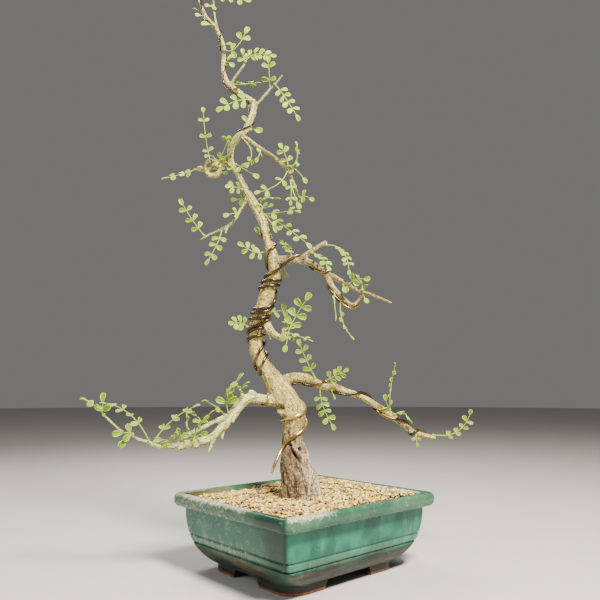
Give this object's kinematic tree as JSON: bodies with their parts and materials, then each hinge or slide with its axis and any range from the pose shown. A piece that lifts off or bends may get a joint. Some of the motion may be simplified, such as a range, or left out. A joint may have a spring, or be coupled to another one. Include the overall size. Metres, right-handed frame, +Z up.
{
  "type": "potted bonsai tree",
  "caption": "Small training bonsai with a swollen curving trunk, wound wires and fine pinnate leaves, in a glazed rectangular pot filled with grit, on four corner feet.",
  "frame": {"origin": "middle of the whole object's bounding box at the bottom of the feet", "axes": "+Z up; the pot's long side lies along X and its short side along Y; the tree's front is seen from azimuth -42 degrees, across the pot's -X -Y corner"},
  "size_m": [0.3208, 0.1994, 0.6057],
  "materials": {
    "teal_glaze": "gloss",
    "cream_grit": "matte",
    "pale_bark": "matte",
    "copper_wire": "satin",
    "leaf_green": "matte",
    "screen_plastic": "matte"
  },
  "bodies": {
    "root": {"drain_screen_left": "screen_plastic", "drain_screen_right": "screen_plastic", "pot": "teal_glaze", "soil": "cream_grit", "spray_back_arch": "leaf_green", "spray_bend_pair": "leaf_green", "spray_between": "leaf_green", "spray_diagonal_crown": "leaf_green", "spray_diagonal_end": "leaf_green", "spray_diagonal_hanging": "leaf_green", "spray_diagonal_left": "leaf_green", "spray_diagonal_start": "leaf_green", "spray_far_left_arch": "leaf_green", "spray_far_left_low": "leaf_green", "spray_far_left_tip": "leaf_green", "spray_fork_arch": "leaf_green", "spray_fork_hanging": "leaf_green", "spray_high_bow": "leaf_green", "spray_high_inner": "leaf_green", "spray_high_spike": "leaf_green", "spray_high_tuft": "leaf_green", "spray_knot_end": "leaf_green", "spray_knot_up": "leaf_green", "spray_leader_crown": "leaf_green", "spray_left_cluster": "leaf_green", "spray_long_arch": "leaf_green", "spray_low_left_bow": "leaf_green", "spray_low_left_cluster": "leaf_green", "spray_low_left_mid": "leaf_green", "spray_low_left_stalk": "leaf_green", "spray_mid_back": "leaf_green", "spray_mid_large": "leaf_green", "spray_mid_left": "leaf_green", "spray_right_hanging": "leaf_green", "spray_right_run": "leaf_green", "spray_right_sprig": "leaf_green", "spray_right_tip": "leaf_green", "spray_right_up": "leaf_green", "spray_right_upright": "leaf_green", "spray_shoot_crown": "leaf_green", "spray_shoot_right": "leaf_green", "spray_top_edge": "leaf_green", "spray_top_right": "leaf_green", "spray_trunk_left": "leaf_green", "spray_trunk_right": "leaf_green", "spray_twig_end": "leaf_green", "spray_twig_hang": "leaf_green", "spray_twig_out": "leaf_green", "spray_twig_up": "leaf_green", "spray_up_run": "leaf_green", "spray_upper_left": "leaf_green", "spray_upright_large": "leaf_green", "trunk": "pale_bark", "wire_apex": "copper_wire", "wire_low": "copper_wire", "wire_low_right": "copper_wire", "wire_trunk": "copper_wire", "wire_trunk_second": "copper_wire"}
  },
  "joints": []
}
